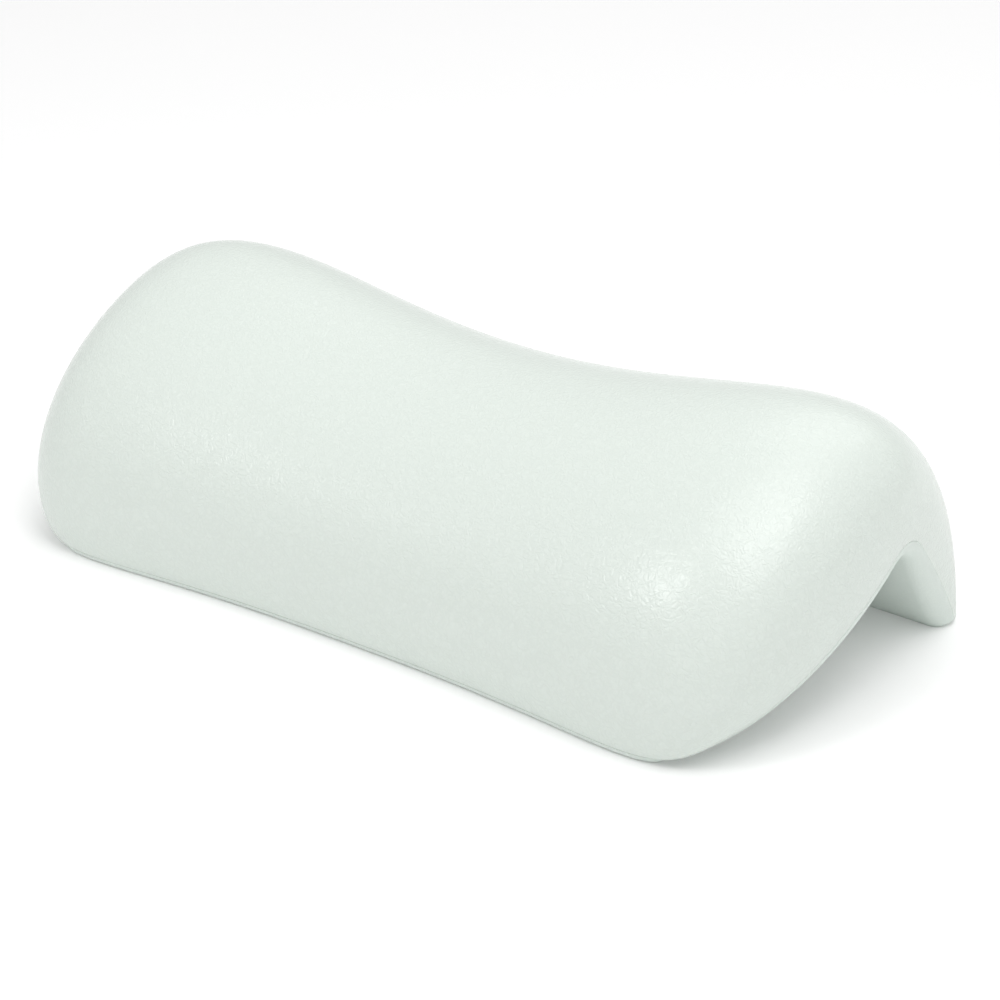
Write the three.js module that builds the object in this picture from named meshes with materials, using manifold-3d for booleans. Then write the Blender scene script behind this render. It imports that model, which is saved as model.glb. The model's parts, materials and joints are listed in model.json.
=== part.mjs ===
// Bath pillow: a self-skinned polyurethane saddle that sits over the rim of a bath.
// Two skins meet on a parting line round a foam core. A bent plate in the foam carries four bushes,
// and a suction cup plugs into each: two against the bath's wall and two on its rim.
// Millimetres, +X along the pillow, the bather's side at -Y, +Z up, both soles on z = 0.
import * as THREE from 'three';
import { mergeVertices } from 'three/addons/utils/BufferGeometryUtils.js';
import Module from 'manifold-3d';

const wasm = await Module();
wasm.setup();

// Feet and rim channel. Distances along Y are measured from the channel's ridge.
const LENGTH = 340; // over the two ends
const FRONT_REACH = 110; // ridge to the foot of the front face, at the ends
const BACK_REACH = 57.5; // ridge to the foot of the back face
const FRONT_SOLE = 18; // foot of the front face to the channel
const BACK_SOLE = 23; // foot of the back face to the channel
const RIDGE_HEIGHT = 47; // where the channel's two slopes would meet
const RIDGE_EASE = 10; // length of each slope that the rounding of the ridge takes
const WAIST = 13; // how far the front is drawn in at mid-length
const WAIST_POWER = 2.65; // 2 for a round waist, more for a long one

// Outer profile at mid-length, and what the lobes add to it towards the ends.
const CROWN_DEPTH = 32; // ridge to the dip between the lobes
const CROWN_FORWARD = 14.5; // crown line ahead of the ridge
const FRONT_BULGE = 13; // lean of the front face out of its foot
const FRONT_BULGE_RISE = 42; // height of that lean
const FRONT_CROWN_REACH = 55; // flat pull of the crown towards the front
const BACK_BULGE = 7.5;
const BACK_BULGE_RISE = 39;
const BACK_CROWN_REACH = 47;
const LOBE_RISE = 23.5;
const LOBE_PLATEAU = 0.58; // 0 for lobes that rise to the ends, 1 for lobes level there
const LOBE_FRONT_SWELL = 10.5;
const LOBE_BACK_SWELL = 11.5;
const LOBE_CROWN_BACK = 11.5; // how far the lobes' crown moves back

// Ends and edges.
const FRONT_CORNER_SETBACK = 35.5; // the front corners stand this far inside the ends
const FRONT_CORNER_SHARE = 0.8; // share of the front face over which its corner falls back
const FRONT_CORNER_FULLNESS = 1.8; // 1 for a pointed corner, 2 for a round one
const END_SQUARENESS = 5.5; // powers of the rounded ends
const END_FULLNESS = 2.4;
const END_EDGE_RADIUS = 7.5; // channel into the ends

// Skins, core and plate.
const SKIN = 1.2;
const FIT_GAP = 0.3; // between parts that touch
const PARTING_LIFT = 0.9; // parting line above the sole of the foam
const FOAM_UNDER_PLATE = 4.8; // foam between a cup recess and the plate
const PLATE_THICKNESS = 2;
const PLATE_END_MARGIN = 55; // plate's ends inside the pillow's ends
const PLATE_EDGE_MARGIN = 14; // plate's edges short of the foot of each slope
const PLATE_BEND_EASE = 16; // length of each arm that the rounding of the bend takes
const LOCK_HOLE_RADIUS = 5; // holes that the foam grows through
const LOCK_HOLES_PER_ARM = 3; // spaced between the cups

// Cup recesses, bushes and cups.
const CUP_FROM_END = 90; // a cup's axis inside the pillow's end
const BORE_RADIUS = 3.4; // in the bush, for the cup's stud
const BUSH_WALL = 2.1;
const BUSH_TAIL = 3; // barrel past the plate
const BUSH_END_WALL = 1.5;
const RING_LIP = 2; // ring that keeps the plate on the barrel
const RING_THICKNESS = 1.8;
const FLANGE_LIP = 4.5; // flange past the barrel
const FLANGE_THICKNESS = 1.6;
const RECESS_DEPTH = 5;
const RECESS_MARGIN = 6; // recess floor past the flange
const RECESS_FLARE = 4; // recess mouth past its floor
const STUD_CLEARANCE = 0.3; // all round the stud
const STUD_END_CLEARANCE = 0.6;
const STUD_CHAMFER = 0.8;
const COLLAR_LIP = 3.4; // collar past the stud
const COLLAR_THICKNESS = 1.6;
const CUP_RADIUS = 17;
const CUP_STAND = 7; // the cup's rim past the channel's face
const CUP_RIM_WIDTH = 2;
const CUP_RIM_THICKNESS = 0.9;
const CUP_ROOF = 2.6; // thickness over the middle of the cup
const TAB_LENGTH = 5; // pull tab past the rim
const TAB_WIDTH = 7;

// Facets.
const STATIONS = 22; // along the length
const STATION_CROWDING = 2.1; // power that crowds the stations towards the ends
const FRONT_COLUMNS = 12;
const FRONT_CROWDING = 2; // power that crowds the front columns towards the foot
const RIDGE_COLUMNS = 4;
const BACK_COLUMNS = 5;
const RIDGE_SHARE = 0.16; // share of the sweep each side that the ridge's rounding takes
const TOE_FACETS = 2;
const CURVE_FACETS = 4;
const ROUND_FACETS = 16;
const SMALL_ROUND_FACETS = 12;
const WELD_DISTANCE = 1e-4;

// Finishes.
const finish = (color, roughness) => ({ color: new THREE.Color(...color), roughness, metalness: 0 });
const GRAINED_SKIN = finish([0.9, 0.95, 0.92], 0.5);
const SMOOTH_SKIN = finish([0.8, 0.86, 0.82], 0.55);
const FOAM = finish([0.93, 0.92, 0.84], 0.95);
const PLATE_PLASTIC = finish([0.55, 0.57, 0.58], 0.6);
const BUSH_PLASTIC = finish([0.94, 0.94, 0.92], 0.4);
const CUP_VINYL = finish([0.8, 0.87, 0.87], 0.25);

// Sizes that follow from the ones above.
const crownHeight = RIDGE_HEIGHT + CROWN_DEPTH;
const partingHeight = SKIN + FIT_GAP + PARTING_LIFT;
const plateLength = LENGTH - 2 * PLATE_END_MARGIN;
const cupX = LENGTH / 2 - CUP_FROM_END;
const barrelRadius = BORE_RADIUS + BUSH_WALL;
const ringRadius = barrelRadius + RING_LIP;
const flangeRadius = barrelRadius + FLANGE_LIP;
const recessFloorRadius = flangeRadius + RECESS_MARGIN;
const studRadius = BORE_RADIUS - STUD_CLEARANCE;
const collarRadius = studRadius + COLLAR_LIP;

const point2 = (y, z) => new THREE.Vector2(y, z);

// Solids: a closed geometry becomes something that can be joined and cut, and back again.
function solidOf(geometry) {
  const bare = geometry.clone();
  bare.deleteAttribute('normal');
  bare.deleteAttribute('uv');
  const welded = mergeVertices(bare, WELD_DISTANCE);
  const corners = welded.index.array;
  const triangles = [];
  for (let i = 0; i < corners.length; i += 3) {
    const [a, b, c] = corners.subarray(i, i + 3);
    if (a !== b && b !== c && c !== a) triangles.push(a, b, c);
  }
  return new wasm.Manifold(
    new wasm.Mesh({
      numProp: 3,
      vertProperties: welded.attributes.position.array,
      triVerts: new Uint32Array(triangles),
    }),
  );
}

function geometryOf(solid) {
  const mesh = solid.getMesh();
  const geometry = new THREE.BufferGeometry();
  geometry.setAttribute('position', new THREE.BufferAttribute(mesh.vertProperties, 3));
  geometry.setIndex(new THREE.BufferAttribute(mesh.triVerts, 1));
  return geometry;
}

function placed(geometry, frame) {
  return solidOf(geometry.clone().applyMatrix4(frame));
}

function cutAll(solid, cutters) {
  return cutters.reduce((left, cutter) => left.subtract(cutter), solid);
}

// A profile of [radius, height] pairs, from the axis up the outside and back to the axis, turned about Z.
function turned(profile, facets = ROUND_FACETS) {
  const points = profile.map(([radius, height]) => point2(radius, height));
  return new THREE.LatheGeometry(points, facets).rotateX(Math.PI / 2);
}

// The channel: two straight slopes that meet at a ridge, between the soles.
// Each slope has its direction down to the sole, its normal into the foam and its length.
function channel(ridge, frontToe, backToe) {
  const slopeTo = (toe) => {
    const down = toe.clone().sub(ridge).normalize();
    const inwards = point2(-down.y, down.x);
    return { down, inwards: inwards.y < 0 ? inwards.negate() : inwards, length: toe.distanceTo(ridge) };
  };
  const front = slopeTo(frontToe);
  const back = slopeTo(backToe);
  const lean = front.inwards.clone().add(back.inwards);
  lean.divideScalar(1 + front.inwards.dot(back.inwards));
  const corner = (depth) => lean.clone().multiplyScalar(depth).add(ridge);
  return { front, back, corner };
}

const frontToe = point2(-FRONT_REACH + FRONT_SOLE, 0);
const backToe = point2(BACK_REACH - BACK_SOLE, 0);
const ridge = point2(0, RIDGE_HEIGHT);
const rimChannel = channel(ridge, frontToe, backToe);

function atHeight(from, { down }, z) {
  return from.clone().addScaledVector(down, (z - from.y) / down.y);
}

// The section of the pillow, or of a form that lies inset everywhere from it.
// The sweep w runs from -1 at the front, over the ridge at 0, to 1 at the back.
// It starts and ends level with the parting line.
function sectionOf(inset) {
  const { front, back, corner } = rimChannel;
  const top = corner(inset);
  const start = atHeight(top, front, partingHeight);
  const end = atHeight(top, back, partingHeight);
  const easeFront = top.clone().addScaledVector(front.down, RIDGE_EASE);
  const easeBack = top.clone().addScaledVector(back.down, RIDGE_EASE);
  const round = new THREE.QuadraticBezierCurve(easeFront, top, easeBack);
  const straight = 1 - RIDGE_SHARE;

  function inner(w) {
    if (w < -RIDGE_SHARE) return start.clone().lerp(easeFront, (w + 1) / straight);
    if (w > RIDGE_SHARE) return easeBack.clone().lerp(end, (w - RIDGE_SHARE) / straight);
    return round.getPoint((w + RIDGE_SHARE) / (2 * RIDGE_SHARE));
  }

  function outer(w, lobe) {
    const height = crownHeight + lobe * LOBE_RISE;
    const crown = point2(-CROWN_FORWARD + lobe * LOBE_CROWN_BACK, height - inset);
    const isFront = w < 0;
    const side = isFront ? -1 : 1;
    const foot = point2(side * ((isFront ? FRONT_REACH : BACK_REACH) - inset), partingHeight);
    const lean = isFront ? FRONT_BULGE + lobe * LOBE_FRONT_SWELL : BACK_BULGE + lobe * LOBE_BACK_SWELL;
    const rise = ((isFront ? FRONT_BULGE_RISE : BACK_BULGE_RISE) * height) / crownHeight;
    const pull = isFront ? FRONT_CROWN_REACH : BACK_CROWN_REACH;
    return new THREE.CubicBezierCurve(
      foot,
      foot.clone().add(point2(side * lean, rise)),
      crown.clone().add(point2(side * pull, 0)),
      crown,
    ).getPoint(1 - Math.abs(w));
  }

  const run = (from, slope) => Math.abs(atHeight(top, slope, inset).x - from.x);
  return { inner, outer, frontRun: run(start, front), backRun: run(end, back) };
}

const pillowSection = sectionOf(0);

function endX(w) {
  const front = Math.max(0, (-w - 1 + FRONT_CORNER_SHARE) / FRONT_CORNER_SHARE);
  const round = Math.max(0, 1 - front ** 2) ** (1 / FRONT_CORNER_FULLNESS);
  return LENGTH / 2 - FRONT_CORNER_SETBACK * (1 - round);
}

// The waist draws Y towards the back foot. s runs from -1 to 1 along the length.
function waisted(y, s) {
  const draw = 1 - (WAIST / (FRONT_REACH + BACK_REACH)) * (1 - Math.abs(s) ** WAIST_POWER);
  return BACK_REACH - (BACK_REACH - y) * draw;
}

// How much of the lobe there is: 0 at mid-length and 1 at the ends.
function lobeAt(s) {
  const rise = s * s;
  return rise * (1 + LOBE_PLATEAU * (1 - rise));
}

// One point of the upper and one of the lower surface, which meet at the ends of the length.
function surfacePair(section, inset, s, w) {
  const inner = section.inner(w);
  const span = section.outer(w, lobeAt(s)).sub(inner);
  const depth = span.length();
  const out = span.normalize();
  const sunk = inner.distanceTo(pillowSection.inner(w));
  const edge = Math.min(END_EDGE_RADIUS - sunk, depth / 2);
  const round = (1 - Math.abs(s) ** END_SQUARENESS) ** (1 / END_FULLNESS);
  const end = endX(w) - inset;
  const past = Math.max(0, 1 - (end * (1 - Math.abs(s))) / edge);
  const level = Math.sqrt(1 - past * past);
  const lift = (distance) => {
    const point = out.clone().multiplyScalar(distance).add(inner);
    return new THREE.Vector3(end * s, waisted(point.x, s), point.y);
  };
  return { upper: lift(edge + (depth - edge) * round), lower: lift(edge * (1 - level)), level };
}

// From the parting line round the toe onto the sole, and across it to the foot of the channel's slope.
function solePoints({ upper, lower, level }, inset, slopeRun) {
  const width = lower.y - upper.y;
  const limited = (length) => Math.sign(width) * Math.min(length, Math.abs(width) / 2);
  const toe = partingHeight - inset;
  const radius = limited(toe);
  const at = (y, drop) => new THREE.Vector3(upper.x, y, upper.z - toe * level * drop);
  const points = [];
  for (let i = 0; i <= TOE_FACETS; i++) {
    const turn = (i / TOE_FACETS) * (Math.PI / 2);
    points.push(at(upper.y + radius * (1 - Math.cos(turn)), Math.sin(turn)));
  }
  points.push(at(lower.y - limited(slopeRun), 1));
  return points;
}

function sweepColumns() {
  const columns = [];
  const ease = RIDGE_SHARE;
  for (let i = 0; i < FRONT_COLUMNS; i++) {
    columns.push(-1 + (1 - ease) * (i / FRONT_COLUMNS) ** FRONT_CROWDING);
  }
  for (let i = 0; i < RIDGE_COLUMNS; i++) columns.push(-ease + (2 * ease * i) / RIDGE_COLUMNS);
  for (let i = 0; i <= BACK_COLUMNS; i++) columns.push(ease + ((1 - ease) * i) / BACK_COLUMNS);
  return columns;
}

// Rows of points from end to end: the upper surface, then the soles and the channel below it.
function surfaceRows(inset) {
  const section = sectionOf(inset);
  const columns = sweepColumns();
  const upper = [];
  const lower = [];
  for (let i = 0; i <= STATIONS; i++) {
    const u = (2 * i) / STATIONS - 1;
    const s = Math.sign(u) * (1 - (1 - Math.abs(u)) ** STATION_CROWDING);
    const pairs = columns.map((w) => surfacePair(section, inset, s, w));
    upper.push(pairs.map((pair) => pair.upper));
    lower.push([
      ...solePoints(pairs[0], inset, section.frontRun),
      ...pairs.map((pair) => pair.lower),
      ...solePoints(pairs[pairs.length - 1], inset, section.backRun).reverse(),
    ]);
  }
  return { upper, lower };
}

// The two surfaces share the points of the parting line, so each point gets a number by its place.
function numberRows({ upper, lower }) {
  const known = new Map();
  const numberOf = ({ x, y, z }) => {
    const key = [x, y, z].map((v) => Math.round(v / WELD_DISTANCE)).join();
    if (!known.has(key)) known.set(key, known.size);
    return known.get(key);
  };
  const numbered = (rows) => rows.map((row) => row.map(numberOf));
  return { upper: numbered(upper), lower: numbered(lower) };
}

// Each quad is split along the diagonal that points to the nearest corner, so the two ends match.
function rowFaces(rows, flip) {
  const faces = [];
  const add = (a, b, c) => {
    if (a !== b && b !== c && c !== a) faces.push(flip ? [a, c, b] : [a, b, c]);
  };
  const rowHalf = (rows.length - 1) / 2;
  const columnHalf = (rows[0].length - 1) / 2;
  for (let i = 0; i + 1 < rows.length; i++) {
    for (let j = 0; j + 1 < rows[i].length; j++) {
      const [a, b, c, d] = [rows[i][j], rows[i + 1][j], rows[i + 1][j + 1], rows[i][j + 1]];
      if (i < rowHalf === j < columnHalf) {
        add(a, b, c);
        add(a, c, d);
      } else {
        add(a, b, d);
        add(b, c, d);
      }
    }
  }
  return faces;
}

const numbers = numberRows(surfaceRows(0));
const upperFaces = rowFaces(numbers.upper, false);
const lowerFaces = rowFaces(numbers.lower, true);

function formPoints(inset) {
  const rows = surfaceRows(inset);
  const points = [];
  for (const side of ['upper', 'lower']) {
    rows[side].forEach((row, i) => row.forEach((p, j) => (points[numbers[side][i][j]] = p)));
  }
  return points;
}

function facesGeometry(points, faces) {
  const geometry = new THREE.BufferGeometry();
  const positions = points.flatMap((p) => [p.x, p.y, p.z]);
  geometry.setAttribute('position', new THREE.Float32BufferAttribute(positions, 3));
  geometry.setIndex(faces.flat());
  return geometry;
}

function closedForm(inset) {
  return solidOf(facesGeometry(formPoints(inset), [...upperFaces, ...lowerFaces]));
}

function borderEdges(faces) {
  const edges = new Map();
  for (const [a, b, c] of faces) {
    for (const [from, to] of [[a, b], [b, c], [c, a]]) edges.set(`${from},${to}`, [from, to]);
  }
  return [...edges.values()].filter(([from, to]) => !edges.has(`${to},${from}`));
}

// A skin: the faces, the same faces further in, and a strip round their border.
// Two skins that share a border split its strip along the same diagonals, so they never cross there.
function skinGeometry(faces, outside, inside) {
  const count = outside.length;
  const all = [...faces];
  for (const [a, b, c] of faces) all.push([a + count, c + count, b + count]);
  for (const [a, b] of borderEdges(faces)) {
    if (a < b) all.push([b, a, b + count], [a, a + count, b + count]);
    else all.push([b, a, a + count], [b, a + count, b + count]);
  }
  return facesGeometry([...outside, ...inside], all);
}

// Points drawn back from the border of some faces, along the faces.
function trimmed(points, faces, distance) {
  const border = new Set(borderEdges(faces).flat());
  const pull = new Map([...border].map((i) => [i, new THREE.Vector3()]));
  for (const face of faces) {
    for (const from of face.filter((i) => border.has(i))) {
      for (const to of face.filter((i) => !border.has(i))) {
        pull.get(from).add(points[to].clone().sub(points[from]));
      }
    }
  }
  return points.map((p, i) => (border.has(i) ? p.clone().add(pull.get(i).setLength(distance)) : p));
}

// Seats halfway down the channel's slopes: Z out of the channel's face, X along the pillow.
const cupStation = cupX / (LENGTH / 2);
const atCups = (p) => point2(waisted(p.x, cupStation), p.y);
const cupChannel = channel(atCups(ridge), atCups(frontToe), atCups(backToe));

function seatFrame({ down, inwards, length }, x) {
  const seat = cupChannel.corner(0).addScaledVector(down, length / 2);
  const along = new THREE.Vector3(1, 0, 0);
  const out = new THREE.Vector3(0, -inwards.x, -inwards.y);
  const across = out.clone().cross(along);
  return new THREE.Matrix4().makeBasis(along, across, out).setPosition(x, seat.x, seat.y);
}

// The wall cups hold to the inside of the bath and the rim cups to the top of its rim.
const cupRows = [
  { row: 'wall', slope: cupChannel.front },
  { row: 'rim', slope: cupChannel.back },
];
const seats = cupRows.flatMap(({ row, slope }) => [
  { row, hand: 'left', side: -1, frame: seatFrame(slope, -cupX) },
  { row, hand: 'right', side: 1, frame: seatFrame(slope, cupX) },
]);

// Heights along a cup's axis, from the channel's face.
const plateDepth = RECESS_DEPTH + SKIN + FOAM_UNDER_PLATE;
const plateFar = -plateDepth - PLATE_THICKNESS;
const flangeLow = -RECESS_DEPTH + FIT_GAP;
const flangeHigh = flangeLow + FLANGE_THICKNESS;
const bushEnd = plateFar - BUSH_TAIL;
const boreEnd = bushEnd + BUSH_END_WALL;
const ringHigh = plateFar - FIT_GAP;
const ringLow = ringHigh - RING_THICKNESS;

function recessCutter(grow) {
  const floor = -RECESS_DEPTH - grow;
  const mouth = RECESS_DEPTH;
  const flare = RECESS_FLARE * (1 + mouth / RECESS_DEPTH);
  return turned([
    [0, floor],
    [recessFloorRadius + grow, floor],
    [recessFloorRadius + grow + flare, mouth],
    [0, mouth],
  ]);
}

function bushSolid() {
  const profile = [
    [0, bushEnd],
    [barrelRadius, bushEnd],
    [barrelRadius, ringLow],
    [ringRadius, ringLow],
    [ringRadius, ringHigh],
    [barrelRadius, ringHigh],
    [barrelRadius, flangeLow],
    [flangeRadius, flangeLow],
    [flangeRadius, flangeHigh],
    [BORE_RADIUS, flangeHigh],
    [BORE_RADIUS, boreEnd],
    [0, boreEnd],
  ];
  return solidOf(turned(profile));
}

// The hole that the foam and the skin leave round a bush.
function bushCutter() {
  const barrel = barrelRadius + FIT_GAP;
  const ring = ringRadius + FIT_GAP;
  return turned([
    [0, bushEnd - FIT_GAP],
    [barrel, bushEnd - FIT_GAP],
    [barrel, ringLow - FIT_GAP],
    [ring, ringLow - FIT_GAP],
    [ring, ringHigh + FIT_GAP],
    [barrel, ringHigh + FIT_GAP],
    [barrel, flangeLow],
    [0, flangeLow],
  ]);
}

function curvePoints(from, bend, to) {
  const curve = new THREE.QuadraticBezierCurve(point2(...from), point2(...bend), point2(...to));
  return curve.getPoints(CURVE_FACETS).map((p) => [p.x, p.y]);
}

function cupSolid(side) {
  const seat = flangeHigh + FIT_GAP;
  const tip = boreEnd + STUD_END_CLEARANCE;
  const shoulder = seat + COLLAR_THICKNESS;
  const roof = shoulder + CUP_ROOF;
  const lip = CUP_STAND - CUP_RIM_THICKNESS;
  const inner = CUP_RADIUS - CUP_RIM_WIDTH;
  const cup = turned([
    [0, tip],
    [studRadius - STUD_CHAMFER, tip],
    [studRadius, tip + STUD_CHAMFER],
    [studRadius, seat],
    [collarRadius, seat],
    ...curvePoints([collarRadius, shoulder], [CUP_RADIUS - CUP_RIM_WIDTH, roof], [CUP_RADIUS, lip]),
    [CUP_RADIUS, CUP_STAND],
    ...curvePoints([inner, CUP_STAND], [inner / 2, roof], [0, roof]),
  ]);
  const tabRoot = CUP_RADIUS - CUP_RIM_WIDTH / 2;
  const tabEnd = CUP_RADIUS + TAB_LENGTH;
  const tab = new THREE.BoxGeometry(tabEnd - tabRoot, TAB_WIDTH, CUP_RIM_THICKNESS);
  tab.translate((side * (tabRoot + tabEnd)) / 2, 0, lip + CUP_RIM_THICKNESS / 2);
  return solidOf(cup).add(solidOf(tab));
}

// The plate follows the channel inside the foam. Its section is a bent strip, grown on every side.
function plateSection(grow) {
  const { front, back, corner } = cupChannel;
  const near = corner(plateDepth - grow);
  const far = corner(plateDepth + PLATE_THICKNESS + grow);
  const thick = PLATE_THICKNESS + 2 * grow;
  const edge = ({ down, inwards, length }) => {
    const reach = length - PLATE_EDGE_MARGIN + grow;
    return corner(0).addScaledVector(down, reach).addScaledVector(inwards, plateDepth - grow);
  };
  const frontEdge = edge(front);
  const backEdge = edge(back);
  const section = new THREE.Shape();
  const lineTo = (p) => section.lineTo(p.x, p.y);
  const bend = (at, from, to) => {
    const end = at.clone().addScaledVector(to.down, PLATE_BEND_EASE);
    lineTo(at.clone().addScaledVector(from.down, PLATE_BEND_EASE));
    section.quadraticCurveTo(at.x, at.y, end.x, end.y);
  };
  section.moveTo(frontEdge.x, frontEdge.y);
  bend(near, front, back);
  lineTo(backEdge);
  lineTo(backEdge.clone().addScaledVector(back.inwards, thick));
  bend(far, back, front);
  lineTo(frontEdge.clone().addScaledVector(front.inwards, thick));
  return section;
}

function plateSolid(grow) {
  const length = plateLength + 2 * grow;
  const options = { depth: length, bevelEnabled: false, curveSegments: CURVE_FACETS };
  const sheet = new THREE.ExtrudeGeometry(plateSection(grow), options).translate(0, 0, -length / 2);
  const alongX = new THREE.Matrix4().makeBasis(
    new THREE.Vector3(0, 1, 0),
    new THREE.Vector3(0, 0, 1),
    new THREE.Vector3(1, 0, 0),
  );
  const holes = seats.map(({ frame }) => placed(drill(barrelRadius + FIT_GAP - grow), frame));
  const lockPitch = (2 * cupX) / (LOCK_HOLES_PER_ARM + 1);
  for (const { slope } of cupRows) {
    for (let i = 1; i <= LOCK_HOLES_PER_ARM; i++) {
      holes.push(placed(drill(LOCK_HOLE_RADIUS - grow), seatFrame(slope, i * lockPitch - cupX)));
    }
  }
  return cutAll(placed(sheet, alongX), holes);
}

// A drill through the plate, on a seat's axis.
function drill(radius) {
  const low = plateFar - PLATE_THICKNESS;
  const high = PLATE_THICKNESS - plateDepth;
  return turned([[0, low], [radius, low], [radius, high], [0, high]], SMALL_ROUND_FACETS);
}

// Each skin stops a fit gap short of the parting line.
function skinSolid(faces) {
  const outside = trimmed(formPoints(0), faces, FIT_GAP);
  const inside = trimmed(formPoints(SKIN), faces, FIT_GAP);
  return solidOf(skinGeometry(faces, outside, inside));
}

function seatCutters(grow) {
  return seats.flatMap(({ frame }) => [placed(recessCutter(grow), frame), placed(bushCutter(), frame)]);
}

// The underside skin lines the cup recesses too, and lets the bushes through.
function undersideSkin() {
  const backed = closedForm(SKIN / 2);
  const lined = seats.reduce(
    (skin, { frame }) => skin.add(placed(recessCutter(SKIN), frame).intersect(backed)),
    skinSolid(lowerFaces),
  );
  return cutAll(lined, seatCutters(0));
}

function foamCore() {
  const inset = SKIN + FIT_GAP;
  return cutAll(closedForm(inset), [...seatCutters(inset), plateSolid(FIT_GAP)]);
}

function piece(name, solid, look) {
  const mesh = new THREE.Mesh(geometryOf(solid), new THREE.MeshStandardMaterial(look));
  mesh.name = name;
  return mesh;
}

const pillow = new THREE.Group();
pillow.add(piece('outer_skin', skinSolid(upperFaces), GRAINED_SKIN));
pillow.add(piece('underside_skin', undersideSkin(), SMOOTH_SKIN));
pillow.add(piece('foam_core', foamCore(), FOAM));
pillow.add(piece('arch_plate', plateSolid(0), PLATE_PLASTIC));

for (const { row, hand, side, frame } of seats) {
  const seat = new THREE.Group();
  seat.applyMatrix4(frame);
  seat.add(piece(`${row}_bush_${hand}`, bushSolid(), BUSH_PLASTIC));
  seat.add(piece(`${row}_cup_${hand}`, cupSolid(side), CUP_VINYL));
  pillow.add(seat);
}

// The origin lies on the floor under the middle of the pillow.
const bathPillow = new THREE.Group();
const box = new THREE.Box3().setFromObject(pillow);
pillow.position.y = -(box.min.y + box.max.y) / 2;
bathPillow.add(pillow);

export default bathPillow;
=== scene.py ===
# %% [markdown]
# A moulded bath pillow sits over the rim of a bath and carries a bather's neck in the dip between its
# two lobes. Its sizes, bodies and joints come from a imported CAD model, the frame. This lesson dresses
# that frame: the plain solids get finer meshes in the same places, and each surface gets its finish.
# Lengths are in metres. +X runs along the pillow, -Y faces the bather and +Z is up.

# %% Load the frame
import json
import math
from types import SimpleNamespace

import bmesh
import bpy
from mathutils import Matrix, Vector


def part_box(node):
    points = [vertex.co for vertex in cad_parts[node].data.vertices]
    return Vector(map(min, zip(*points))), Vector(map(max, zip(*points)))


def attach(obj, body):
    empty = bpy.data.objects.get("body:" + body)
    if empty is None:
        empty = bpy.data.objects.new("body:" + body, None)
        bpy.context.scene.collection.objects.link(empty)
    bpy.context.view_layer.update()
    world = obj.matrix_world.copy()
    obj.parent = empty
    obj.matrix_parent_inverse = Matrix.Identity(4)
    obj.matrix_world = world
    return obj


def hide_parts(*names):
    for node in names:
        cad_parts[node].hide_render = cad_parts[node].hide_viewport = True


MM = 0.001
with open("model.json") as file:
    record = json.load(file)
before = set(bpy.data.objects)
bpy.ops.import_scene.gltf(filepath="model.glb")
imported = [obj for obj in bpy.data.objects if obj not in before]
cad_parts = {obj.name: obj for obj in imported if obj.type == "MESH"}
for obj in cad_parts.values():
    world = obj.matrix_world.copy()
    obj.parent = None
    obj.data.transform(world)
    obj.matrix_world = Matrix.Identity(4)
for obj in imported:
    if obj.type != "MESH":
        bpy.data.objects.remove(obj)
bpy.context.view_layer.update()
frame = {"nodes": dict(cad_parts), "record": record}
scene = bpy.context.scene
print("nodes in the frame:", ", ".join(sorted(frame["nodes"])))

# %% [markdown]
# The camera comes first, because every later choice is judged through it. A product shot like this is
# taken with a long lens from the front right and a little above, which keeps the far lobe nearly as
# large as the near one. The place and the aim were found by matching the outline of the solids to the
# outline in the picture, with no lens shift.

# %% Camera
CAMERA_PLACE = Vector((0.4934, -0.6793, 0.4490))
CAMERA_AIM = Vector((0.0159, -0.0015, 0.0320))
LENS = 91.15
SENSOR = 36.0


def add_camera():
    data = bpy.data.cameras.new("photo_camera")
    data.lens = LENS
    data.sensor_width = SENSOR
    camera = bpy.data.objects.new("photo_camera", data)
    camera.location = CAMERA_PLACE
    camera.rotation_euler = (CAMERA_AIM - CAMERA_PLACE).to_track_quat("-Z", "Y").to_euler()
    scene.collection.objects.link(camera)
    scene.camera = camera
    return camera


camera = add_camera()
print("camera", camera.location[:], "lens", LENS)

# %% [markdown]
# The pillow's form follows a rule, so it is written as one. Each cross-section has an inner line, the
# inverted V that sits on the bath, and an outer line, the cushion. A point of the outer skin lies on
# the ray between them. The share `s` runs from end to end and `w` from the front sole over the top to
# the back sole. The two lobes rise with the square of `s` and level off, and near the ends the skin
# closes like a dome. These are the sizes that the rule needs.

# %% Sizes of the form
SADDLE = {
    "Length": 340 * MM,
    "Front reach": 110 * MM,
    "Back reach": 57.5 * MM,
    "Front sole": 18 * MM,
    "Back sole": 23 * MM,
    "Ridge height": 47 * MM,
    "Ridge ease": 10 * MM,
    "Waist": 13 * MM,
    "Parting height": 2.4 * MM,
    "Crown height": 79 * MM,
    "Crown forward": 14.5 * MM,
    "Front bulge": 13 * MM,
    "Front bulge rise": 42 * MM,
    "Front crown reach": 55 * MM,
    "Back bulge": 7.5 * MM,
    "Back bulge rise": 39 * MM,
    "Back crown reach": 47 * MM,
    "Lobe rise": 23.5 * MM,
    "Lobe front swell": 10.5 * MM,
    "Lobe back swell": 11.5 * MM,
    "Lobe crown back": 11.5 * MM,
    "Front corner setback": 35.5 * MM,
    "End edge radius": 7.5 * MM,
}
WAIST_POWER = 2.65
LOBE_PLATEAU = 0.58
FRONT_CORNER_SHARE = 0.8
FRONT_CORNER_FULLNESS = 1.8
END_SQUARENESS = 5.5
END_FULLNESS = 2.4
RIDGE_SHARE = 0.16
CROWDING = 2.1
sizes = SimpleNamespace(**{name.lower().replace(" ", "_"): value for name, value in SADDLE.items()})
print("sizes of the form:", len(SADDLE))

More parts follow.
